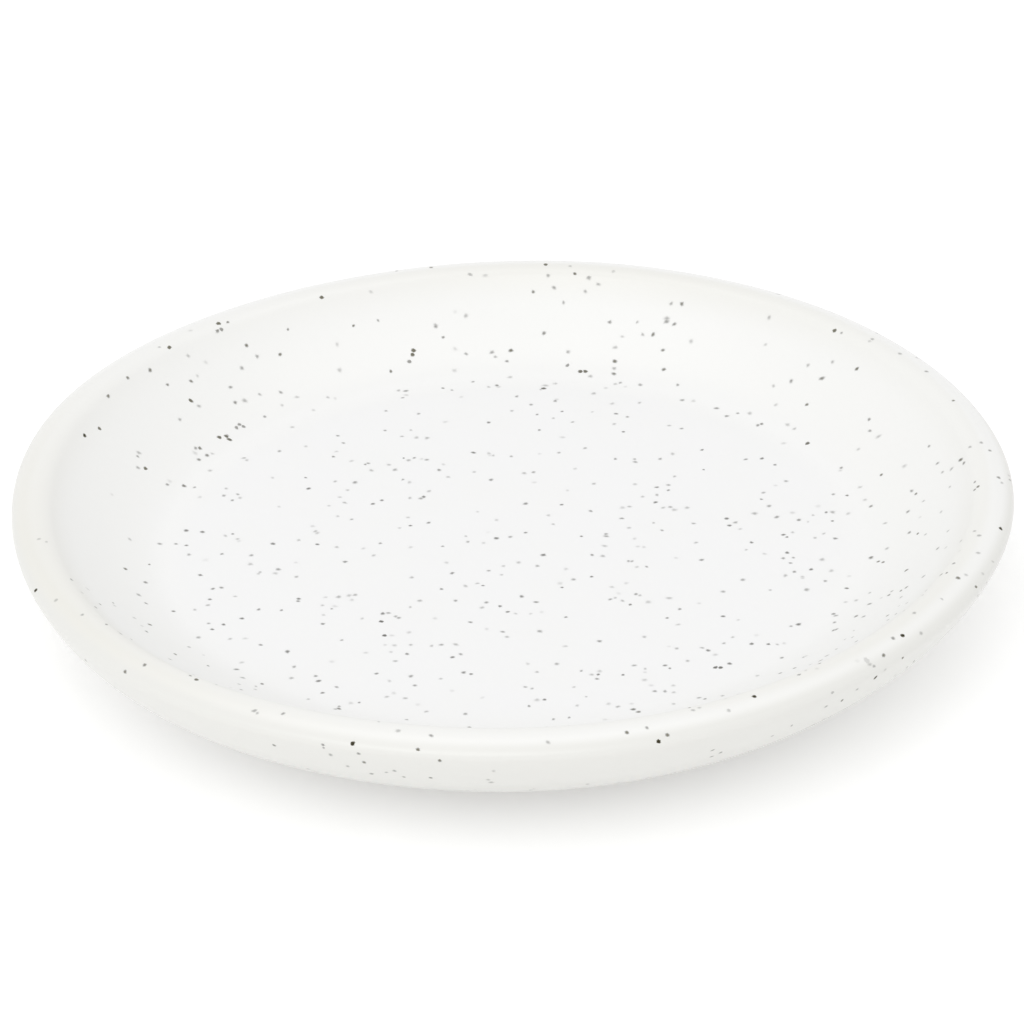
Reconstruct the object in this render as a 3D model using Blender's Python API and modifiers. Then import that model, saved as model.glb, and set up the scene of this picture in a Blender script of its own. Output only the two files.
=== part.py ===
"""A small round sauce dish in speckled white stoneware.

The clay body is turned in one piece with its foot ring. One coat of glaze covers the well, the lip and
the outer wall down to the foot, and a second patch covers the recess inside the foot ring. The foot ring
itself is bare clay, because the dish stands on it while the glaze melts.
"""

import math

import bpy

# Sizes over the glaze, in metres
RIM_DIAMETER = 0.100
WELL_DEPTH = 0.0073
FLOOR_THICKNESS = 0.00555
FLOOR_DISHING = 0.0003
WALL_RUN = 0.0113

# The lip is broad and rounded on top, with a tighter round inside and a crisp outer edge
LIP_TOP_RADIUS = 0.00375
LIP_INNER_RADIUS = 0.0020
LIP_EDGE_RADIUS = 0.0008

# Slope of the inner wall below the lip, slope of the lip's top where it meets its outer edge, and how far
# the outer wall leans off the upright below that edge
INNER_WALL_SLOPE = math.radians(46)
LIP_FALL = math.radians(40)
OUTER_WALL_LEAN = math.radians(18)

# Foot ring and the recess inside it
FOOT_INSET = 0.0200
FOOT_HEIGHT = 0.0020
FOOT_WIDTH = 0.0042
FOOT_DRAFT = math.radians(8)
FOOT_EDGE_RADIUS = 0.0005
RECESS_DEPTH = 0.0026
RECESS_CROWN = 0.0004

# Glaze, and the clearance that keeps its mesh off the clay
GLAZE_THICKNESS = 0.0004
GLAZE_CLEARANCE = 0.00025

# How far each curve keeps its first direction, as a share of its rise or of its run
INNER_LIP_PULL = 0.40
FLOOR_CORNER_PULL = 0.30
OUTER_LIP_PULL = 0.38
BELLY_PULL = 0.55

# How finely the curves are cut
TURN_STEPS = 64
FLOOR_STEPS = 2
INNER_WALL_STEPS = 7
LIP_INNER_STEPS = 3
LIP_TOP_STEPS = 4
LIP_EDGE_STEPS = 3
OUTER_WALL_STEPS = 8
FOOT_EDGE_STEPS = 3
GLAZE_EDGE_STEPS = 4
MERGE_DISTANCE = 0.00001

# Sizes that follow from those above
RIM_RADIUS = RIM_DIAMETER / 2
HEIGHT = FOOT_HEIGHT + FLOOR_THICKNESS + WELL_DEPTH
LIP_CENTRES_APART = LIP_TOP_RADIUS - LIP_EDGE_RADIUS
LIP_CREST_RADIUS = RIM_RADIUS - LIP_EDGE_RADIUS - LIP_CENTRES_APART * math.sin(LIP_FALL)
LIP_EDGE_HEIGHT = HEIGHT - LIP_TOP_RADIUS + LIP_CENTRES_APART * math.cos(LIP_FALL)
COAT = GLAZE_THICKNESS + GLAZE_CLEARANCE
FOOT_RADIUS = RIM_RADIUS - FOOT_INSET
FOOT_ROOT_HEIGHT = FOOT_HEIGHT + COAT
RECESS_CLAY_HEIGHT = RECESS_DEPTH + COAT


def foot_outer_radius(height):
    """Radius of the foot ring's outer face, which leans out towards its root."""
    return FOOT_RADIUS + height * math.tan(FOOT_DRAFT)


def foot_inner_radius(height):
    """Radius of the foot ring's inner face, which leans in towards the recess."""
    return FOOT_RADIUS - FOOT_WIDTH - height * math.tan(FOOT_DRAFT)


def steps_between(start, end, count):
    return [start + (end - start) * step / count for step in range(count + 1)]


def arc(centre, radius, start_angle, end_angle, count):
    """Points along an arc about a centre, as (radius, height) pairs."""
    return [
        (centre[0] + radius * math.cos(angle), centre[1] + radius * math.sin(angle))
        for angle in steps_between(start_angle, end_angle, count)
    ]


def curve(start, start_handle, end_handle, end, count):
    """Points along a cubic curve with two handles."""
    points = []
    for t in steps_between(0.0, 1.0, count):
        weights = ((1 - t) ** 3, 3 * t * (1 - t) ** 2, 3 * t * t * (1 - t), t ** 3)
        corners = (start, start_handle, end_handle, end)
        points.append(tuple(sum(w * c[axis] for w, c in zip(weights, corners)) for axis in range(2)))
    return points


def moved_inwards(path, distance):
    """The path moved off the surface into the wall. A point on the turning axis stays on it."""
    moved = []
    last = len(path) - 1
    for index, (radius, height) in enumerate(path):
        before = path[max(index - 1, 0)]
        after = path[min(index + 1, last)]
        along_radius = after[0] - before[0]
        along_height = after[1] - before[1]
        length = math.hypot(along_radius, along_height)
        shift = 0.0 if radius == 0.0 else distance * along_height / length
        moved.append((radius + shift, height - distance * along_radius / length))
    return moved


def lip():
    """The lip, from its inner side over the crest to the foot of its outer edge."""
    inner_centre = (LIP_CREST_RADIUS, HEIGHT - LIP_INNER_RADIUS)
    top_centre = (LIP_CREST_RADIUS, HEIGHT - LIP_TOP_RADIUS)
    edge_centre = (RIM_RADIUS - LIP_EDGE_RADIUS, LIP_EDGE_HEIGHT)
    crest = math.pi / 2
    inside = arc(inner_centre, LIP_INNER_RADIUS, crest + INNER_WALL_SLOPE, crest, LIP_INNER_STEPS)
    top = arc(top_centre, LIP_TOP_RADIUS, crest, crest - LIP_FALL, LIP_TOP_STEPS)
    edge = arc(edge_centre, LIP_EDGE_RADIUS, crest - LIP_FALL, -OUTER_WALL_LEAN, LIP_EDGE_STEPS)
    return inside + top[1:] + edge[1:]


def well_floor(edge):
    """The floor from its centre out to its edge, dished a little so that sauce gathers in the middle."""
    centre_height = HEIGHT - WELL_DEPTH
    return [
        (radius, centre_height + FLOOR_DISHING * (radius / edge) ** 2)
        for radius in steps_between(0.0, edge, FLOOR_STEPS)
    ]


def inner_wall(floor_edge, lip_side):
    """The rise from the floor to the inner side of the lip."""
    floor_slope = 2 * FLOOR_DISHING / floor_edge[0]
    floor_reach = FLOOR_CORNER_PULL * WALL_RUN
    lip_drop = INNER_LIP_PULL * (lip_side[1] - floor_edge[1])
    floor_handle = (floor_edge[0] + floor_reach, floor_edge[1] + floor_reach * floor_slope)
    lip_handle = (lip_side[0] - lip_drop / math.tan(INNER_WALL_SLOPE), lip_side[1] - lip_drop)
    return curve(floor_edge, floor_handle, lip_handle, lip_side, INNER_WALL_STEPS)


def outer_wall(start):
    """The outer wall, from the lip's edge round the belly to the glaze's edge beside the foot."""
    end_radius = foot_outer_radius(FOOT_ROOT_HEIGHT) + GLAZE_CLEARANCE + GLAZE_THICKNESS / 2
    end = (end_radius, FOOT_HEIGHT)
    drop = OUTER_LIP_PULL * (start[1] - end[1])
    start_handle = (start[0] - drop * math.tan(OUTER_WALL_LEAN), start[1] - drop)
    end_handle = (end[0] + BELLY_PULL * (RIM_RADIUS - end[0]), end[1])
    return curve(start, start_handle, end_handle, end, OUTER_WALL_STEPS)


def glazed_surface():
    """The dish's visible outline, from the middle of the well over the lip to the foot."""
    rim = lip()
    floor = well_floor(rim[0][0] - WALL_RUN)
    return floor + inner_wall(floor[-1], rim[0])[1:] + rim[1:] + outer_wall(rim[-1])[1:]


def recess_face(edge_radius, edge_height):
    """The recess inside the foot ring, from its edge inwards, crowned in the middle."""
    return [
        (radius, edge_height + RECESS_CROWN * (1 - (radius / edge_radius) ** 2))
        for radius in steps_between(edge_radius, 0.0, FLOOR_STEPS)
    ]


def foot_profile():
    """The foot ring from its outer root, round the flat it stands on, to the edge of the recess."""
    corner = FOOT_EDGE_RADIUS * math.tan((math.pi / 2 - FOOT_DRAFT) / 2)
    outer_centre = (FOOT_RADIUS - corner, FOOT_EDGE_RADIUS)
    inner_centre = (FOOT_RADIUS - FOOT_WIDTH + corner, FOOT_EDGE_RADIUS)
    outer_root = (foot_outer_radius(FOOT_ROOT_HEIGHT), FOOT_ROOT_HEIGHT)
    outer_edge = arc(outer_centre, FOOT_EDGE_RADIUS, -FOOT_DRAFT, -math.pi / 2, FOOT_EDGE_STEPS)
    inner_edge = arc(inner_centre, FOOT_EDGE_RADIUS, -math.pi / 2, FOOT_DRAFT - math.pi, FOOT_EDGE_STEPS)
    return [outer_root] + outer_edge + inner_edge


def body_profile():
    clay_surface = moved_inwards(glazed_surface(), COAT)
    recess = recess_face(foot_inner_radius(RECESS_CLAY_HEIGHT), RECESS_CLAY_HEIGHT)
    return clay_surface + foot_profile() + recess


def glaze_profile():
    surface = glazed_surface()
    back = moved_inwards(surface, GLAZE_THICKNESS)
    half = GLAZE_THICKNESS / 2
    edge_centre = (surface[-1][0], surface[-1][1] + half)
    edge = arc(edge_centre, half, -math.pi / 2, -3 * math.pi / 2, GLAZE_EDGE_STEPS)
    return surface + edge[1:-1] + back[::-1]


def recess_glaze_profile():
    half = GLAZE_THICKNESS / 2
    edge_radius = foot_inner_radius(RECESS_CLAY_HEIGHT) - GLAZE_CLEARANCE - half
    upper = recess_face(edge_radius, RECESS_DEPTH + GLAZE_THICKNESS)
    lower = recess_face(edge_radius, RECESS_DEPTH)
    edge = arc((edge_radius, RECESS_DEPTH + half), half, math.pi / 2, -math.pi / 2, GLAZE_EDGE_STEPS)
    return upper[::-1] + edge[1:-1] + lower


def finish(name, colour, roughness):
    """A plain coloured material."""
    material = bpy.data.materials.new(name)
    material.use_nodes = True
    shader = material.node_tree.nodes["Principled BSDF"]
    shader.inputs["Base Color"].default_value = (*colour, 1.0)
    shader.inputs["Roughness"].default_value = roughness
    shader.inputs["Metallic"].default_value = 0.0
    material.diffuse_color = (*colour, 1.0)
    return material


def turned(name, profile, material, parent, collection):
    """One turned piece: its profile swept once round the upright axis."""
    mesh = bpy.data.meshes.new(name)
    vertices = [(radius, 0.0, height) for radius, height in profile]
    edges = [(index, index + 1) for index in range(len(vertices) - 1)]
    mesh.from_pydata(vertices, edges, [])
    mesh.materials.append(material)
    piece = bpy.data.objects.new(name, mesh)
    piece.parent = parent
    collection.objects.link(piece)
    sweep = piece.modifiers.new("turn", "SCREW")
    sweep.axis = "Z"
    sweep.angle = 2 * math.pi
    sweep.steps = TURN_STEPS
    sweep.render_steps = TURN_STEPS
    sweep.use_merge_vertices = True
    sweep.merge_threshold = MERGE_DISTANCE
    sweep.use_smooth_shade = True
    return piece


def main():
    for old in list(bpy.data.objects):
        bpy.data.objects.remove(old)

    collection = bpy.data.collections.new("sauce_dish")
    bpy.context.scene.collection.children.link(collection)
    dish = bpy.data.objects.new("sauce_dish", None)
    collection.objects.link(dish)

    clay = finish("fired_clay", (0.58, 0.50, 0.40), 0.85)
    white_glaze = finish("white_glaze", (0.90, 0.89, 0.86), 0.25)
    recess_glaze = finish("recess_glaze", (0.89, 0.88, 0.84), 0.28)

    turned("stoneware_body", body_profile(), clay, dish, collection)
    turned("glaze_coat", glaze_profile(), white_glaze, dish, collection)
    turned("foot_recess_glaze", recess_glaze_profile(), recess_glaze, dish, collection)


main()
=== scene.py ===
"""Looks of the speckled stoneware sauce dish.

Fine turned meshes stand for the clay, the glaze and the patch of glaze under the foot, with the small
unevenness of a thrown dish. Iron specks sit in the glaze. The studio is a pale floor under soft light.
"""

import math
import random

import bmesh
import bpy
from mathutils import Matrix, Vector, noise
from mathutils.bvhtree import BVHTree


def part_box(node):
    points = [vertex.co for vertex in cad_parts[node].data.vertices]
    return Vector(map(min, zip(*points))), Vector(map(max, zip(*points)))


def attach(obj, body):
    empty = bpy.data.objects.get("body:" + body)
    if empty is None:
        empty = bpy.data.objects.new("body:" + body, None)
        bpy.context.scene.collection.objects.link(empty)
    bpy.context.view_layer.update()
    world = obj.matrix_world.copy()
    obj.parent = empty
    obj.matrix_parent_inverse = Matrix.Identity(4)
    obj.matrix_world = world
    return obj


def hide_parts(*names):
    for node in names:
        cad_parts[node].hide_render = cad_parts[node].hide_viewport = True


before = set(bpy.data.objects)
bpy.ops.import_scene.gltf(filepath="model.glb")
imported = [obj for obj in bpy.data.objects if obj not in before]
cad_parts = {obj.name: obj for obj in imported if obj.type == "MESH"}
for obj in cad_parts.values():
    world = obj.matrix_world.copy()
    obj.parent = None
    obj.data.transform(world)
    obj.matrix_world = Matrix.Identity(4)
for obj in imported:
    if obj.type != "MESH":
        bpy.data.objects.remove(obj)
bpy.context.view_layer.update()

# Sizes of the dish over its glaze, in metres. The outer ones come from the part itself.
COAT_LOW, COAT_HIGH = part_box("glaze_coat")
RIM_RADIUS = COAT_HIGH.x
HEIGHT = COAT_HIGH.z
FOOT_HEIGHT = COAT_LOW.z
RECESS_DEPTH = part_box("foot_recess_glaze")[0].z
WELL_DEPTH = 0.0073
FLOOR_DISHING = 0.0003
WALL_RUN = 0.0113
LIP_TOP_RADIUS = 0.00375
LIP_INNER_RADIUS = 0.0020
LIP_EDGE_RADIUS = 0.0008
FOOT_INSET = 0.0200
FOOT_WIDTH = 0.0042
FOOT_EDGE_RADIUS = 0.0005
RECESS_CROWN = 0.0004
GLAZE_THICKNESS = 0.0004
GLAZE_CLEARANCE = 0.00025

# Slopes: of the inner wall below the lip, of the lip's top above its outer edge, of the wall below that
# edge, off the upright, and of the foot ring's sides
INNER_WALL_SLOPE = math.radians(46)
LIP_FALL = math.radians(40)
OUTER_WALL_LEAN = math.radians(18)
FOOT_DRAFT = math.radians(8)

# How far each curve keeps its first direction, as a share of its rise or of its run
INNER_LIP_PULL = 0.40
FLOOR_CORNER_PULL = 0.30
OUTER_LIP_PULL = 0.38
BELLY_PULL = 0.55

COAT = GLAZE_THICKNESS + GLAZE_CLEARANCE
LIP_CENTRES_APART = LIP_TOP_RADIUS - LIP_EDGE_RADIUS
LIP_CREST_RADIUS = RIM_RADIUS - LIP_EDGE_RADIUS - LIP_CENTRES_APART * math.sin(LIP_FALL)
LIP_EDGE_HEIGHT = HEIGHT - LIP_TOP_RADIUS + LIP_CENTRES_APART * math.cos(LIP_FALL)
FLOOR_EDGE_RADIUS = LIP_CREST_RADIUS - LIP_INNER_RADIUS * math.sin(INNER_WALL_SLOPE) - WALL_RUN
FOOT_RADIUS = RIM_RADIUS - FOOT_INSET
FOOT_ROOT_HEIGHT = FOOT_HEIGHT + COAT
RECESS_CLAY_HEIGHT = RECESS_DEPTH + COAT

# How finely the meshes are cut
TURN_STEPS = 240
FLOOR_STEPS = 30
INNER_WALL_STEPS = 32
LIP_INNER_STEPS = 12
LIP_TOP_STEPS = 16
LIP_EDGE_STEPS = 12
OUTER_WALL_STEPS = 40
FOOT_EDGE_STEPS = 6
RECESS_STEPS = 20
GLAZE_EDGE_STEPS = 8
MERGE_DISTANCE = 0.000002

# Unevenness of a thrown dish: waves round the rim, outwards and upwards, as (count, size, phase), and dimples
RIM_WAVES = ((2, 0.00016, 4.6), (3, 0.00010, 1.4), (4, 0.00008, 3.1), (5, 0.00015, 1.6), (6, 0.00009, 3.6))
RIM_RISE_WAVES = ((1, 0.00014, 6.2), (2, 0.00015, 1.5), (3, 0.00013, 6.1), (4, 0.00008, 2.0))
DIMPLE_DEPTH = 0.00003
DIMPLE_SPACING = 0.009

# The glaze stops short of the foot by up to this much, in waves, and thins out over this width
GLAZE_LINE_RETREAT = 0.0005
GLAZE_LINE_WIDTH = 0.004
GLAZE_LINE_WAVES = ((3, 0.30, 0.8), (7, 0.28, 2.9), (13, 0.22, 5.1), (22, 0.15, 1.2))

# The photograph's camera: its height angle, its roll and the dish in the frame
CAMERA_ELEVATION = math.radians(29.34)
CAMERA_ROLL = math.radians(1.52)
CAMERA_DISTANCE = 0.70
PHOTO_SIDE = 1024
RIM_RADIUS_PIXELS = 502.2
RIM_CENTRE_PIXEL = (509.5, 496.4)
SENSOR_MILLIMETRES = 36.0
NEAREST_SEEN = 0.01


class PhotoCamera:
    """The photograph's camera, and the ray through any pixel of its frame."""

    def __init__(self):
        sine, cosine = math.sin(CAMERA_ELEVATION), math.cos(CAMERA_ELEVATION)
        self.forward = Vector((0.0, cosine, -sine))
        level_right, level_up = Vector((1.0, 0.0, 0.0)), Vector((0.0, sine, cosine))
        self.right = level_right * math.cos(CAMERA_ROLL) - level_up * math.sin(CAMERA_ROLL)
        self.up = level_up * math.cos(CAMERA_ROLL) + level_right * math.sin(CAMERA_ROLL)
        self.focal_pixels = RIM_RADIUS_PIXELS * CAMERA_DISTANCE / RIM_RADIUS
        rim_centre = Vector((0.0, 0.0, LIP_EDGE_HEIGHT))
        self.place = rim_centre - CAMERA_DISTANCE * self.ray(*RIM_CENTRE_PIXEL)

    def ray(self, across, down):
        """The direction through a pixel, with a length of 1 along the line of sight."""
        middle = PHOTO_SIDE / 2
        sideways = self.right * ((across - middle) / self.focal_pixels)
        upwards = self.up * ((middle - down) / self.focal_pixels)
        return self.forward + sideways + upwards

    def build(self):
        data = bpy.data.cameras.new("photo_camera")
        data.sensor_width = SENSOR_MILLIMETRES
        data.lens = SENSOR_MILLIMETRES * self.focal_pixels / PHOTO_SIDE
        data.clip_start = NEAREST_SEEN
        camera = bpy.data.objects.new("photo_camera", data)
        axes = Matrix((self.right, self.up, -self.forward)).transposed()
        camera.matrix_world = Matrix.Translation(self.place) @ axes.to_4x4()
        bpy.context.scene.collection.objects.link(camera)
        bpy.context.scene.camera = camera


# Outlines, as (radius, height) points


def steps_between(start, end, count):
    return [start + (end - start) * step / count for step in range(count + 1)]


def arc(centre, radius, start_angle, end_angle, count):
    return [
        (centre[0] + radius * math.cos(angle), centre[1] + radius * math.sin(angle))
        for angle in steps_between(start_angle, end_angle, count)
    ]


def curve(start, start_handle, end_handle, end, count):
    points = []
    for t in steps_between(0.0, 1.0, count):
        weights = ((1 - t) ** 3, 3 * t * (1 - t) ** 2, 3 * t * t * (1 - t), t ** 3)
        corners = (start, start_handle, end_handle, end)
        points.append(tuple(sum(w * c[axis] for w, c in zip(weights, corners)) for axis in range(2)))
    return points


def moved_inwards(path, distance):
    """The path moved off the surface into the wall. A point on the turning axis stays on it."""
    moved = []
    last = len(path) - 1
    for index, (radius, height) in enumerate(path):
        before, after = path[max(index - 1, 0)], path[min(index + 1, last)]
        along_radius, along_height = after[0] - before[0], after[1] - before[1]
        length = math.hypot(along_radius, along_height)
        shift = 0.0 if radius == 0.0 else distance * along_height / length
        moved.append((radius + shift, height - distance * along_radius / length))
    return moved


def foot_outer_radius(height):
    return FOOT_RADIUS + height * math.tan(FOOT_DRAFT)


def foot_inner_radius(height):
    return FOOT_RADIUS - FOOT_WIDTH - height * math.tan(FOOT_DRAFT)


GLAZE_END_RADIUS = foot_outer_radius(FOOT_ROOT_HEIGHT) + GLAZE_CLEARANCE + GLAZE_THICKNESS / 2


def lip():
    """The lip, from its inner side over the crest to the foot of its outer edge."""
    crest = math.pi / 2
    inner_centre = (LIP_CREST_RADIUS, HEIGHT - LIP_INNER_RADIUS)
    top_centre = (LIP_CREST_RADIUS, HEIGHT - LIP_TOP_RADIUS)
    edge_centre = (RIM_RADIUS - LIP_EDGE_RADIUS, LIP_EDGE_HEIGHT)
    inside = arc(inner_centre, LIP_INNER_RADIUS, crest + INNER_WALL_SLOPE, crest, LIP_INNER_STEPS)
    top = arc(top_centre, LIP_TOP_RADIUS, crest, crest - LIP_FALL, LIP_TOP_STEPS)
    edge = arc(edge_centre, LIP_EDGE_RADIUS, crest - LIP_FALL, -OUTER_WALL_LEAN, LIP_EDGE_STEPS)
    return inside + top[1:] + edge[1:]


def well(lip_side):
    """The dished floor and the inner wall, up to the lip."""
    edge = FLOOR_EDGE_RADIUS
    floor = [
        (radius, HEIGHT - WELL_DEPTH + FLOOR_DISHING * (radius / edge) ** 2)
        for radius in steps_between(0.0, edge, FLOOR_STEPS)
    ]
    floor_reach = FLOOR_CORNER_PULL * WALL_RUN
    lip_drop = INNER_LIP_PULL * (lip_side[1] - floor[-1][1])
    floor_handle = (edge + floor_reach, floor[-1][1] + floor_reach * 2 * FLOOR_DISHING / edge)
    lip_handle = (lip_side[0] - lip_drop / math.tan(INNER_WALL_SLOPE), lip_side[1] - lip_drop)
    return floor + curve(floor[-1], floor_handle, lip_handle, lip_side, INNER_WALL_STEPS)[1:]


def outer_wall(start):
    """The outer wall from the lip's edge to where the glaze ends beside the foot."""
    drop = OUTER_LIP_PULL * (start[1] - FOOT_HEIGHT)
    start_handle = (start[0] - drop * math.tan(OUTER_WALL_LEAN), start[1] - drop)
    end_handle = (GLAZE_END_RADIUS + BELLY_PULL * (RIM_RADIUS - GLAZE_END_RADIUS), FOOT_HEIGHT)
    return curve(start, start_handle, end_handle, (GLAZE_END_RADIUS, FOOT_HEIGHT), OUTER_WALL_STEPS)


def glazed_surface():
    """The outline that shows, from the middle of the well over the lip to the foot."""
    rim = lip()
    return well(rim[0]) + rim[1:] + outer_wall(rim[-1])[1:]


def recess_face(edge_radius, edge_height):
    return [
        (radius, edge_height + RECESS_CROWN * (1 - (radius / edge_radius) ** 2))
        for radius in steps_between(edge_radius, 0.0, RECESS_STEPS)
    ]


def glaze_outline():
    surface = glazed_surface()
    back = moved_inwards(surface, GLAZE_THICKNESS)
    half = GLAZE_THICKNESS / 2
    centre = (GLAZE_END_RADIUS, FOOT_HEIGHT + half)
    edge = arc(centre, half, -math.pi / 2, -3 * math.pi / 2, GLAZE_EDGE_STEPS)
    return surface + edge[1:-1] + back[::-1]


def clay_outline():
    corner = FOOT_EDGE_RADIUS * math.tan((math.pi / 2 - FOOT_DRAFT) / 2)
    outer_centre = (FOOT_RADIUS - corner, FOOT_EDGE_RADIUS)
    inner_centre = (FOOT_RADIUS - FOOT_WIDTH + corner, FOOT_EDGE_RADIUS)
    root = [(foot_outer_radius(FOOT_ROOT_HEIGHT), FOOT_ROOT_HEIGHT)]
    outer_edge = arc(outer_centre, FOOT_EDGE_RADIUS, -FOOT_DRAFT, -math.pi / 2, FOOT_EDGE_STEPS)
    inner_edge = arc(inner_centre, FOOT_EDGE_RADIUS, -math.pi / 2, FOOT_DRAFT - math.pi, FOOT_EDGE_STEPS)
    recess = recess_face(foot_inner_radius(RECESS_CLAY_HEIGHT), RECESS_CLAY_HEIGHT)
    return moved_inwards(glazed_surface(), COAT) + root + outer_edge + inner_edge + recess


PATCH_RADIUS = foot_inner_radius(RECESS_CLAY_HEIGHT) - GLAZE_CLEARANCE - GLAZE_THICKNESS / 2


def patch_outline():
    half = GLAZE_THICKNESS / 2
    upper = recess_face(PATCH_RADIUS, RECESS_DEPTH + GLAZE_THICKNESS)
    edge = arc((PATCH_RADIUS, RECESS_DEPTH + half), half, math.pi / 2, -math.pi / 2, GLAZE_EDGE_STEPS)
    return upper[::-1] + edge[1:-1] + recess_face(PATCH_RADIUS, RECESS_DEPTH)


# Turned pieces


def waves(angle, parts):
    return sum(size * math.sin(count * angle + phase) for count, size, phase in parts)


def hand_made(point):
    """A point of the true dish moved to where the thrown dish has it."""
    radius = math.hypot(point.x, point.y)
    if radius == 0.0:
        return point
    angle = math.atan2(point.y, point.x)
    reach = (radius / RIM_RADIUS) ** 2
    grow = 1 + reach * waves(angle, RIM_WAVES) / radius
    rise = reach * (point.z / HEIGHT) * waves(angle, RIM_RISE_WAVES)
    dimple = DIMPLE_DEPTH * (point.z / HEIGHT) * noise.noise(point / DIMPLE_SPACING)
    return Vector((point.x * grow, point.y * grow, point.z + rise + dimple))


def glazed_by_hand(point):
    """As hand_made, and under the belly the glaze draws back from the foot in waves."""
    radius = math.hypot(point.x, point.y)
    near = 1 - (radius - GLAZE_END_RADIUS) / GLAZE_LINE_WIDTH
    if near <= 0.0 or point.z > FOOT_ROOT_HEIGHT or radius == 0.0:
        return hand_made(point)
    wave = waves(math.atan2(point.y, point.x), GLAZE_LINE_WAVES)
    retreat = GLAZE_LINE_RETREAT * (1 + wave) / 2 * min(near, 1.0) ** 2
    grow = 1 + retreat / radius
    return hand_made(Vector((point.x * grow, point.y * grow, point.z)))


def turned(outline, unevenness):
    """A bmesh of the outline spun round the upright axis and made uneven."""
    bm = bmesh.new()
    points = [bm.verts.new((radius, 0.0, height)) for radius, height in outline]
    lines = [bm.edges.new(ends) for ends in zip(points, points[1:])]
    bmesh.ops.spin(
        bm,
        geom=points + lines,
        cent=(0, 0, 0),
        axis=(0, 0, 1),
        angle=2 * math.pi,
        steps=TURN_STEPS,
        use_merge=True,
    )
    bmesh.ops.remove_doubles(bm, verts=bm.verts, dist=MERGE_DISTANCE)
    bmesh.ops.recalc_face_normals(bm, faces=bm.faces)
    for vertex in bm.verts:
        vertex.co = unevenness(vertex.co)
    return bm


def piece(name, bm, material, node=None):
    """Makes a bmesh a piece of the dish, which stands for a CAD node where one is named."""
    mesh = bpy.data.meshes.new(name)
    for face in bm.faces:
        face.smooth = True
    bm.normal_update()
    bm.to_mesh(mesh)
    bm.free()
    mesh.materials.append(material)
    made = bpy.data.objects.new(name, mesh)
    bpy.context.scene.collection.objects.link(made)
    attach(made, "root")
    if node:
        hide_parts(node)
    return made


# Finishes


class Wire:
    """A node's output. Arithmetic on it adds Math nodes."""

    def __init__(self, recipe, socket):
        self.recipe = recipe
        self.socket = socket

    def maths(self, operation, *values):
        return self.recipe.node("ShaderNodeMath", {"operation": operation}, dict(enumerate(values)))

    def __add__(self, other):
        return self.maths("ADD", self, other)

    def __radd__(self, other):
        return self.maths("ADD", other, self)

    def __sub__(self, other):
        return self.maths("SUBTRACT", self, other)

    def __rsub__(self, other):
        return self.maths("SUBTRACT", other, self)

    def __mul__(self, other):
        return self.maths("MULTIPLY", self, other)

    def __rmul__(self, other):
        return self.maths("MULTIPLY", other, self)

    def __pow__(self, other):
        return self.maths("POWER", self, other)

    def waves(self, middle, parts):
        """A value that swings about a middle as this angle turns, in waves of (count, size, phase)."""
        total = middle
        for count, size, phase in parts:
            total = total + size * self.maths("SINE", self * count + phase)
        return total

    def rising(self, low, high):
        """0 below low, 1 above high, with a smooth rise between."""
        return self.recipe.node(
            "ShaderNodeMapRange",
            {"interpolation_type": "SMOOTHSTEP"},
            {"Value": self, "From Min": low, "From Max": high},
        )


class Recipe:
    """The nodes of a material or of the studio's surroundings, all added by one method."""

    def __init__(self, owner, shader):
        owner.use_nodes = True
        self.owner = owner
        self.tree = owner.node_tree
        self.shader = self.tree.nodes[shader]

    def node(self, kind, settings=None, inputs=None, output=0):
        """Adds a node, sets it up, then fills or links its sockets."""
        made = self.tree.nodes.new(kind)
        for name, value in (settings or {}).items():
            setattr(made, name, value)
        for name, value in (inputs or {}).items():
            self.fill(made.inputs[name], value)
        return Wire(self, made.outputs[output])

    def fill(self, socket, value):
        if isinstance(value, Wire):
            self.tree.links.new(value.socket, socket)
        else:
            socket.default_value = value

    def set(self, **inputs):
        """Fills the shader's own sockets, named with underscores for spaces."""
        for name, value in inputs.items():
            self.fill(self.shader.inputs[name.replace("_", " ")], value)

    def mixed(self, share, first, second):
        """One colour turning into another."""
        return self.node(
            "ShaderNodeMix", {"data_type": "RGBA"}, {"Factor": share, 6: first, 7: second}, output=2
        )

    def place(self):
        return self.node("ShaderNodeTexCoord", output="Object")

    def place_along(self, axis):
        return self.node("ShaderNodeSeparateXYZ", None, {0: self.place()}, output=axis)

    def from_axis(self):
        """The distance from the turning axis."""
        across, along = self.place_along("X"), self.place_along("Y")
        return (across * across + along * along) ** 0.5

    def round_axis(self):
        """The angle round the turning axis, from the right towards the far side."""
        across, along = self.place_along("X"), self.place_along("Y")
        return along.maths("ARCTAN2", along, across)

    def grain(self, spacing, detail=2.0):
        """Noise with about one lump to each spacing."""
        sockets = {"Vector": self.place(), "Scale": 1 / spacing, "Detail": detail}
        return self.node("ShaderNodeTexNoise", None, sockets)

    def bump(self, height, distance):
        return self.node("ShaderNodeBump", None, {"Height": height, "Distance": distance})

    def in_view(self):
        """1 where the surroundings are seen, straight, in gloss or through glass, and 0 for their light."""
        seen = 0.0
        for way in ("Camera", "Glossy", "Transmission"):
            ray = self.node("ShaderNodeLightPath", output=f"Is {way} Ray")
            seen = ray.maths("MAXIMUM", ray, seen)
        return seen


def finish(name):
    return Recipe(bpy.data.materials.new(name), "Principled BSDF")


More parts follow.
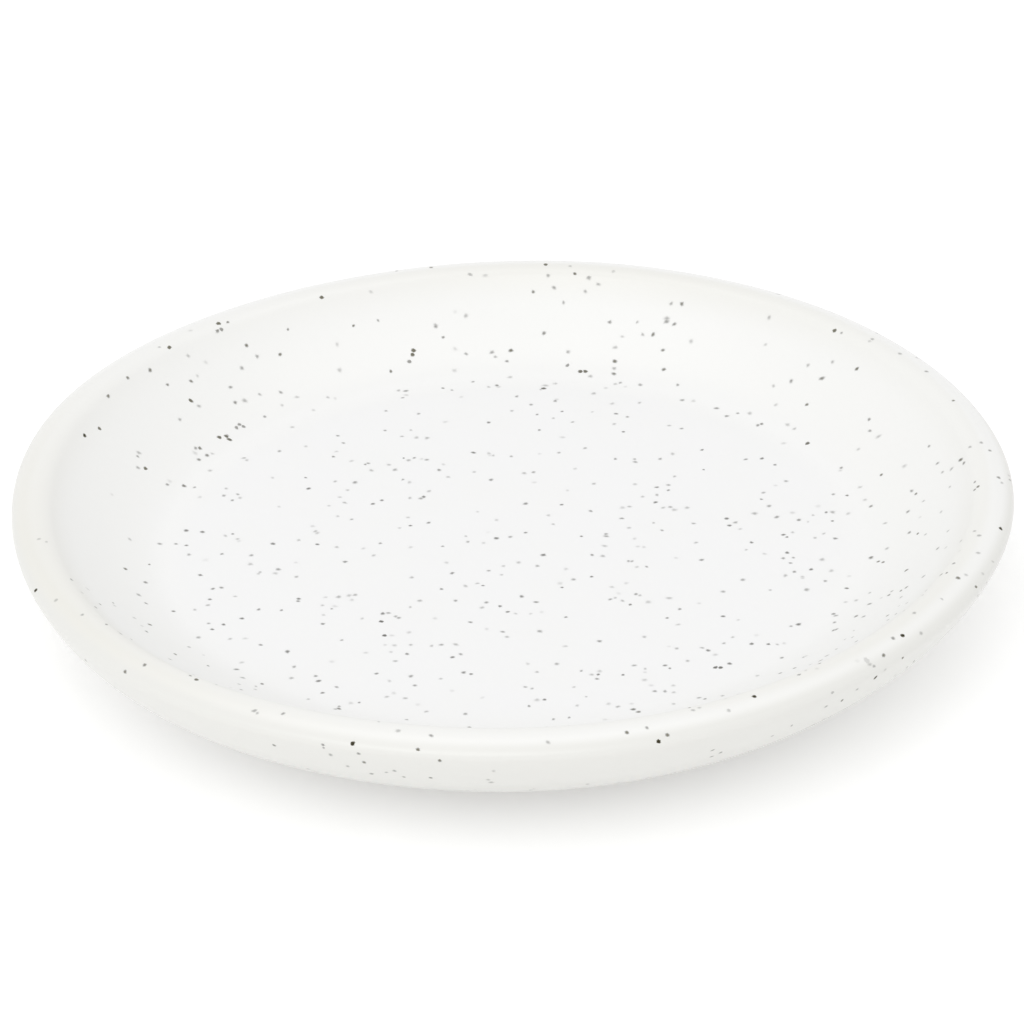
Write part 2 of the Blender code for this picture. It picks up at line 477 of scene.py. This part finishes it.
# Colours of the glaze: pooled in the well, on the wall, a painted light at the far side of the floor's
# corner, and where it runs thin on the lip and outside, with painted shade there too
POOLED_WHITE = (0.905, 0.905, 0.905, 1.0)
WALL_WHITE = (0.900, 0.900, 0.884, 1.0)
CORNER_PAINTED_LIGHT = (0.920, 0.920, 0.912, 1.0)
LIP_WHITE = (0.822, 0.813, 0.765, 1.0)
OUTER_SHADED_WHITE = (0.803, 0.800, 0.769, 1.0)

# Radii between which the colours of the wall, the floor's corner's painted light, the lip and the lip's edge
# come in, and between which the corner's painted light goes again
WALL_RADII = (FLOOR_EDGE_RADIUS - 0.0036, FLOOR_EDGE_RADIUS + 0.0054)
CORNER_LIGHT_START_RADII = (FLOOR_EDGE_RADIUS - 0.0021, FLOOR_EDGE_RADIUS - 0.0001)
CORNER_LIGHT_END_RADII = (FLOOR_EDGE_RADIUS + 0.0002, FLOOR_EDGE_RADIUS + 0.0022)
LIP_RADII = (LIP_CREST_RADIUS - 0.0041, LIP_CREST_RADIUS - 0.0003)
EDGE_RADII = (LIP_CREST_RADIUS - 0.0001, LIP_CREST_RADIUS + 0.0011)

# Below a cone through the rim lies the outside, whose colour, partly painted shade, comes in between these
# depths below it
CONE_SLOPE = 0.62
CONE_RIM_HEIGHT = LIP_EDGE_HEIGHT + 0.00104
OUTSIDE_SHADE_DEPTHS = (-0.0010, 0.0003)

# The far corner's painted light, its share round the dish, and the clouds of thinner glaze in the well
FAR_SIDE_LIGHT_SHARE = 0.5
FAR_SIDE_LIGHT_WAVES = ((1, 0.5, 0.0),)
CLOUD_SPACING = 0.007
CLOUD_LEVELS = (0.35, 0.75)
CLOUD_SHARE = 0.35

# How far the lip's crest and outer edge turn to the thin glaze's colour, in waves round it, partly painted
# shade and light
LIP_THIN_AND_SHADE = 0.44
LIP_THIN_AND_SHADE_WAVES = ((2, 0.08, 0.6), (3, 0.24, 3.7))
EDGE_THIN_AND_SHADE = 0.17
EDGE_THIN_AND_SHADE_WAVES = ((1, 0.50, 4.1), (2, 0.22, 1.2), (3, 0.18, 3.8))

# The gloss of the glaze, and the fine peel and broader swells of its surface
GLAZE_ROUGHNESS = 0.32
GLAZE_ROUGHNESS_SWING = 0.08
GLOSS_SPACING = 0.010
GLAZE_IOR = 1.5
GLAZE_SHINE = 0.25
GLAZE_SHINE_ROUGHNESS = 0.22
PEEL_SPACING = 0.0016
SWELL_SPACING = 0.0060
SWELL_SHARE = 2.0
PEEL_DEPTH = 0.00002


def glaze_colour(recipe):
    """White where the glaze pools, warmer on the walls and the lip, where it runs thin over the clay; with
    painted light at the floor's far corner and painted shade on the lip and outside.
    """
    radius, angle, height = recipe.from_axis(), recipe.round_axis(), recipe.place_along("Z")
    cloud = recipe.grain(CLOUD_SPACING).rising(*CLOUD_LEVELS)
    pooled = recipe.mixed(cloud * CLOUD_SHARE, POOLED_WHITE, WALL_WHITE)
    wall = recipe.mixed(radius.rising(*WALL_RADII), pooled, WALL_WHITE)
    # painted light: a lighter ring at the far side of the floor's corner
    corner = radius.rising(*CORNER_LIGHT_START_RADII) * (1 - radius.rising(*CORNER_LIGHT_END_RADII))
    bowl_with_painted_light = recipe.mixed(corner * angle.waves(FAR_SIDE_LIGHT_SHARE, FAR_SIDE_LIGHT_WAVES), wall, CORNER_PAINTED_LIGHT)
    # the lip's thin colour; its waves round the dish are partly painted shade and light
    crest = angle.waves(LIP_THIN_AND_SHADE, LIP_THIN_AND_SHADE_WAVES)
    edge = angle.waves(EDGE_THIN_AND_SHADE, EDGE_THIN_AND_SHADE_WAVES)
    thin = crest + (edge - crest) * radius.rising(*EDGE_RADII)
    inside = recipe.mixed(radius.rising(*LIP_RADII) * thin, bowl_with_painted_light, LIP_WHITE)
    # the outside: warm thin glaze, darkened in part as painted shade, which also dims the lip's edge
    below_cone = CONE_SLOPE * (radius - RIM_RADIUS) + CONE_RIM_HEIGHT - height
    return recipe.mixed(below_cone.rising(*OUTSIDE_SHADE_DEPTHS), inside, OUTER_SHADED_WHITE)


def glaze_gloss(recipe):
    """The gloss that the glaze and its specks share, softer in some places than in others."""
    roughness = GLAZE_ROUGHNESS + recipe.grain(GLOSS_SPACING) * GLAZE_ROUGHNESS_SWING
    recipe.set(Roughness=roughness, IOR=GLAZE_IOR)
    recipe.set(Coat_Weight=GLAZE_SHINE, Coat_Roughness=GLAZE_SHINE_ROUGHNESS)


def white_glaze():
    recipe = finish("white_glaze")
    glaze_gloss(recipe)
    recipe.set(Base_Color=glaze_colour(recipe))
    peel = recipe.grain(PEEL_SPACING, detail=1.0) + recipe.grain(SWELL_SPACING) * SWELL_SHARE
    recipe.set(Normal=recipe.bump(peel, PEEL_DEPTH))
    return recipe.owner


RECESS_WHITE = (0.880, 0.876, 0.850, 1.0)
RECESS_THIN = (0.800, 0.775, 0.705, 1.0)
RECESS_FADE_RADII = (PATCH_RADIUS - 0.0016, PATCH_RADIUS + 0.0008)
RECESS_WANDER = 0.002
RECESS_WANDER_SPACING = 0.004
RECESS_ROUGHNESS = 0.36
RECESS_THIN_ROUGHNESS = 0.12
RECESS_SHINE = 0.2
RECESS_SHINE_ROUGHNESS = 0.25
RECESS_GRAIN_SPACING = 0.0022
RECESS_GRAIN_DEPTH = 0.00003


def recess_glaze():
    """A thinner coat, which lets the clay through round its edge."""
    recipe = finish("recess_glaze")
    wander = recipe.grain(RECESS_WANDER_SPACING) * RECESS_WANDER
    thin = (recipe.from_axis() + wander).rising(*RECESS_FADE_RADII)
    roughness = RECESS_ROUGHNESS + thin * RECESS_THIN_ROUGHNESS
    recipe.set(Base_Color=recipe.mixed(thin, RECESS_WHITE, RECESS_THIN))
    recipe.set(Roughness=roughness, IOR=GLAZE_IOR)
    recipe.set(Coat_Weight=RECESS_SHINE, Coat_Roughness=RECESS_SHINE_ROUGHNESS)
    recipe.set(Normal=recipe.bump(recipe.grain(RECESS_GRAIN_SPACING), RECESS_GRAIN_DEPTH))
    return recipe.owner


IRON = (0.024, 0.019, 0.004, 1.0)
IRON_BLEED = (0.332, 0.331, 0.321, 1.0)
IRON_BROWN = (0.345, 0.333, 0.255, 1.0)
IRON_SHEEN = 0.15
IRON_SHINE = 0.05

# How much iron it takes, from none at 0 to 1, for the bleed to show, to burn brown, and to turn dark
BLEED_LEVELS = (0.0, 0.5)
BROWN_LEVELS = (0.35, 0.65)
DARK_LEVELS = (0.3, 1.0)


def iron_speck():
    """Iron that has melted into the glaze: dark in the middle, grey or, in thin glaze, brown round it."""
    recipe = finish("iron_speck")
    glaze_gloss(recipe)
    recipe.set(Specular_IOR_Level=IRON_SHEEN, Coat_Weight=IRON_SHINE)
    iron = recipe.node("ShaderNodeAttribute", {"attribute_name": "iron"}, output="Fac")
    thin_glaze = recipe.from_axis().rising(*WALL_RADII)
    burnt = recipe.mixed(iron.rising(*BROWN_LEVELS) * thin_glaze, IRON_BLEED, IRON_BROWN)
    bleed = recipe.mixed(iron.rising(*BLEED_LEVELS), glaze_colour(recipe), burnt)
    recipe.set(Base_Color=recipe.mixed(iron.rising(*DARK_LEVELS), bleed, IRON))
    return recipe.owner


CLAY_PALE = (0.60, 0.50, 0.38, 1.0)
CLAY_DARK = (0.46, 0.36, 0.25, 1.0)
CLAY_TOASTED = (0.44, 0.25, 0.12, 1.0)
CLAY_IRON = (0.07, 0.045, 0.03, 1.0)
CLAY_PATCH_SPACING = 0.004
CLAY_PATCH_LEVELS = (0.35, 0.7)
TOAST_HEIGHTS = (FOOT_HEIGHT * 0.7, FOOT_ROOT_HEIGHT)
TOAST_SHARE = 0.8
TOAST_WANDER = 0.0006
TOAST_WANDER_SPACING = 0.003
CLAY_SPOTS_PER_METRE = 700.0
CLAY_SPOT_EDGE = (0.10, 0.17)
CLAY_ROUGHNESS = 0.74
CLAY_ROUGHNESS_SWING = 0.16
CLAY_TOOTH_SPACING = 0.002
CLAY_GRAIN_SPACING = 0.0007
CLAY_GRAIN_DEPTH = 0.00004


def fired_clay():
    """Bare stoneware with iron spots, toasted brown along the glaze line."""
    recipe = finish("fired_clay")
    patches = recipe.grain(CLAY_PATCH_SPACING).rising(*CLAY_PATCH_LEVELS)
    body = recipe.mixed(patches, CLAY_PALE, CLAY_DARK)
    height = recipe.place_along("Z") + recipe.grain(TOAST_WANDER_SPACING) * TOAST_WANDER
    toasted = recipe.mixed(height.rising(*TOAST_HEIGHTS) * TOAST_SHARE, body, CLAY_TOASTED)
    sockets = {"Vector": recipe.place(), "Scale": CLAY_SPOTS_PER_METRE}
    spots = 1 - recipe.node("ShaderNodeTexVoronoi", None, sockets).rising(*CLAY_SPOT_EDGE)
    recipe.set(Base_Color=recipe.mixed(spots, toasted, CLAY_IRON))
    recipe.set(Roughness=CLAY_ROUGHNESS + recipe.grain(CLAY_TOOTH_SPACING) * CLAY_ROUGHNESS_SWING)
    recipe.set(Normal=recipe.bump(recipe.grain(CLAY_GRAIN_SPACING, detail=3.0), CLAY_GRAIN_DEPTH))
    return recipe.owner


# Iron specks

# The seed of the scatter, how many specks are tried on each surface, and how many are made at a time
SPECK_SEED = 7
WELL_SPECKS = 1030
WALL_SPECKS = 560
PATCH_SPECKS = 90
SPECK_BATCH = 40

# A speck's flake: its sides, its dark core as a share of its radius, how far it rises above the glaze, how
# far its edge and its middle are sunk, how much longer than broad it is, and how ragged its edge
SPECK_SIDES = 8
SPECK_CORE = 0.22
BOLD_CORE = 0.50
SPECK_RISE = 0.000008
SPECK_ROOT = 0.0000006
SPECK_DEPTH = 0.000025
SPECK_STRETCH = (0.85, 1.2)
SPECK_RAGGEDNESS = (0.75, 1.25)

# Radius and strength of the scattered specks: the middle, how widely they spread, the least and the most.
# Faint ones bleed wider, and those on steep glaze are stronger.
SPECK_RADII = (0.00035, 0.13, 0.00018, 0.00045)
SPECK_STRENGTHS = (0.34, 0.40, 0.08, 0.58)
FAINT_WIDENING = 0.25
STEEP_GAIN = 0.3

# How much of the glaze is free of specks: in the middle, round the rim, and more to the far side and the left
MIDDLE_FREE = 0.32
RIM_FREE = 0.30
FAR_RIM_FREE = 0.35
LEFT_RIM_FREE = 0.25

# Bold specks and clusters that stand out in the photograph, by their pixels across and down
BLACK_SPECKS = (
    (658, 741), (352, 743), (902, 635), (754, 696), (84, 435), (35, 590), (875, 677), (1000, 528),
)
DARK_SPECKS = (
    (99, 428), (219, 437), (226, 436), (229, 439), (413, 350), (412, 354), (580, 371), (585, 371),
    (218, 323), (169, 347), (543, 388), (384, 635), (381, 621), (715, 667), (720, 667), (190, 400),
    (145, 468), (321, 297), (834, 330), (807, 443), (196, 679), (545, 264),
)
SOFT_SPECKS = ((236, 427), (239, 424), (243, 426), (409, 361), (567, 365), (221, 329))
LIP_STAIN = ((866, 660),)
PIXEL_MIDDLE = 0.5

# Each kind with its radius and its strength
BOLD_SPECKS = (
    (BLACK_SPECKS, 0.00029, 0.93),
    (DARK_SPECKS, 0.00032, 0.67),
    (SOFT_SPECKS, 0.00030, 0.43),
    (LIP_STAIN, 0.00050, 0.20),
)


def speck(bm, tone, surface, centre, normal, radius, core, strength, draw):
    """One flake of iron on a surface: a low disc, dark in the middle and fading to its edge."""
    across = normal.orthogonal().normalized()
    across.rotate(Matrix.Rotation(draw.uniform(0, 2 * math.pi), 3, normal))
    along = normal.cross(across)
    stretch = draw.uniform(*SPECK_STRETCH)
    made = bmesh.ops.create_cone(
        bm, cap_ends=True, segments=SPECK_SIDES, radius1=1.0, radius2=core, depth=1.0
    )["verts"]
    root = {vertex for vertex in made if vertex.co.z < 0}
    base = next(face for vertex in root for face in vertex.link_faces if root.issuperset(face.verts))
    (pole,) = bmesh.ops.poke(bm, faces=[base])["verts"]
    pole.co = centre - normal * SPECK_DEPTH
    for edge in {edge for vertex in root for edge in vertex.link_edges}:
        edge.smooth = not root.issuperset(edge.verts)
    for vertex in made:
        top = vertex not in root
        ragged = draw.uniform(*SPECK_RAGGEDNESS)
        offset = across * (vertex.co.x * ragged / stretch) + along * (vertex.co.y * ragged * stretch)
        place, facing, _, _ = surface.find_nearest(centre + offset * radius)
        vertex.co = place + facing * (SPECK_RISE if top else -SPECK_ROOT)
        vertex[tone] = strength if top else 0.0


def area_point(outline, draw):
    """A random point of a spun outline, each part of its surface as likely as any other."""
    pieces = list(zip(outline, outline[1:]))
    areas = [math.dist(a, b) * (a[0] + b[0]) for a, b in pieces]
    (start, end), = draw.choices(pieces, weights=areas)
    share, angle = draw.random(), draw.uniform(0, 2 * math.pi)
    radius = start[0] + share * (end[0] - start[0])
    height = start[1] + share * (end[1] - start[1])
    return Vector((radius * math.cos(angle), radius * math.sin(angle), height))


def speck_free(point):
    """How likely the glaze is to have no speck here: most of all on the far side of the lip."""
    across, along = point.x / RIM_RADIUS, point.y / RIM_RADIUS
    reach = math.hypot(across, along)
    rim_free = RIM_FREE + FAR_RIM_FREE * along - LEFT_RIM_FREE * across
    return MIDDLE_FREE * (1 - reach) + reach ** 4 * rim_free


def spread(middle, width, low, high, draw):
    """A random value about a middle, as many times above it as below it."""
    return min(max(draw.lognormvariate(math.log(middle), width), low), high)


def iron_specks(glaze_tree, patch_tree, camera):
    draw = random.Random(SPECK_SEED)
    surface = glazed_surface()
    crest = max(range(len(surface)), key=lambda index: surface[index][1])
    wanted = []
    for pixels, radius, strength in BOLD_SPECKS:
        for across, down in pixels:
            sight = camera.ray(across + PIXEL_MIDDLE, down + PIXEL_MIDDLE).normalized()
            place, facing, _, _ = glaze_tree.ray_cast(camera.place, sight)
            wanted.append((glaze_tree, place, facing, radius, BOLD_CORE, strength))
    groups = (
        (surface[: crest + 1], WELL_SPECKS, glaze_tree),
        (surface[crest:], WALL_SPECKS, glaze_tree),
        (recess_face(PATCH_RADIUS, RECESS_DEPTH), PATCH_SPECKS, patch_tree),
    )
    for outline, count, tree in groups:
        for _ in range(count):
            point = area_point(outline, draw)
            if draw.random() < speck_free(point):
                continue
            place, facing, _, _ = tree.find_nearest(point)
            strength = spread(*SPECK_STRENGTHS, draw) * (1 + STEEP_GAIN * (1 - facing.z ** 2))
            radius = spread(*SPECK_RADII, draw) * (SPECK_STRENGTHS[0] / strength) ** FAINT_WIDENING
            wanted.append((tree, place, facing, radius, SPECK_CORE, strength))
    whole = bmesh.new()
    whole.verts.layers.float.new("iron")
    batch_mesh = bpy.data.meshes.new("speck_batch")
    for first in range(0, len(wanted), SPECK_BATCH):
        batch = bmesh.new()
        tone = batch.verts.layers.float.new("iron")
        for flake in wanted[first : first + SPECK_BATCH]:
            speck(batch, tone, *flake, draw)
        batch.to_mesh(batch_mesh)
        batch.free()
        whole.from_mesh(batch_mesh)
    bpy.data.meshes.remove(batch_mesh)
    return whole


# Studio

WHITE = (1.0, 1.0, 1.0, 1.0)
FLOOR_REACH = 6.0
FLOOR_ROUGHNESS = 0.9
FLOOR_GREY = (0.83, 0.83, 0.83, 1.0)
FLOOR_GLOW = 0.30
FLOOR_BOUNCE = (0.57, 0.57, 0.57, 1.0)
FILL_STRENGTH = 0.78

# Soft lights: place, width and power
SOFTBOXES = {
    "front_light": ((-0.31, -0.85, 0.90), 1.2, 4.4),
    "top_left_light": ((-0.25, 0.16, 0.95), 0.5, 0.38),
    "top_right_light": ((0.25, 0.16, 0.95), 0.5, 0.38),
}


def floor():
    bm = bmesh.new()
    bmesh.ops.create_grid(bm, x_segments=1, y_segments=1, size=FLOOR_REACH)
    mesh = bpy.data.meshes.new("studio_floor")
    bm.to_mesh(mesh)
    bm.free()
    recipe = finish("studio_floor")
    recipe.set(Base_Color=FLOOR_GREY, Roughness=FLOOR_ROUGHNESS, Emission_Strength=FLOOR_GLOW)
    recipe.set(Emission_Color=recipe.mixed(recipe.in_view(), FLOOR_BOUNCE, WHITE))
    mesh.materials.append(recipe.owner)
    made = bpy.data.objects.new("studio_floor", mesh)
    bpy.context.scene.collection.objects.link(made)


def backdrop():
    """Soft light from all round, which is plain white where it is seen."""
    world = bpy.data.worlds.new("studio")
    bpy.context.scene.world = world
    recipe = Recipe(world, "Background")
    recipe.set(Color=WHITE, Strength=FILL_STRENGTH + recipe.in_view() * (1 - FILL_STRENGTH))


def softbox(name, place, width, power):
    """A round soft light that faces the dish."""
    data = bpy.data.lights.new(name, "AREA")
    data.shape = "DISK"
    data.size = width
    data.energy = power
    lamp = bpy.data.objects.new(name, data)
    aim = (-Vector(place)).to_track_quat("-Z", "Y")
    lamp.matrix_world = Matrix.Translation(place) @ aim.to_matrix().to_4x4()
    bpy.context.scene.collection.objects.link(lamp)


photo_camera = PhotoCamera()
photo_camera.build()

glaze_mesh = turned(glaze_outline(), glazed_by_hand)
glaze_tree = BVHTree.FromBMesh(glaze_mesh)
patch_mesh = turned(patch_outline(), hand_made)
patch_tree = BVHTree.FromBMesh(patch_mesh)
piece("white_glaze_coat", glaze_mesh, white_glaze(), "glaze_coat")
piece("clay_body", turned(clay_outline(), hand_made), fired_clay(), "stoneware_body")
piece("recess_glaze_patch", patch_mesh, recess_glaze(), "foot_recess_glaze")
piece("iron_specks", iron_specks(glaze_tree, patch_tree, photo_camera), iron_speck())

floor()
backdrop()
for light, (place, width, power) in SOFTBOXES.items():
    softbox(light, place, width, power)
bpy.context.scene.view_settings.view_transform = "Standard"
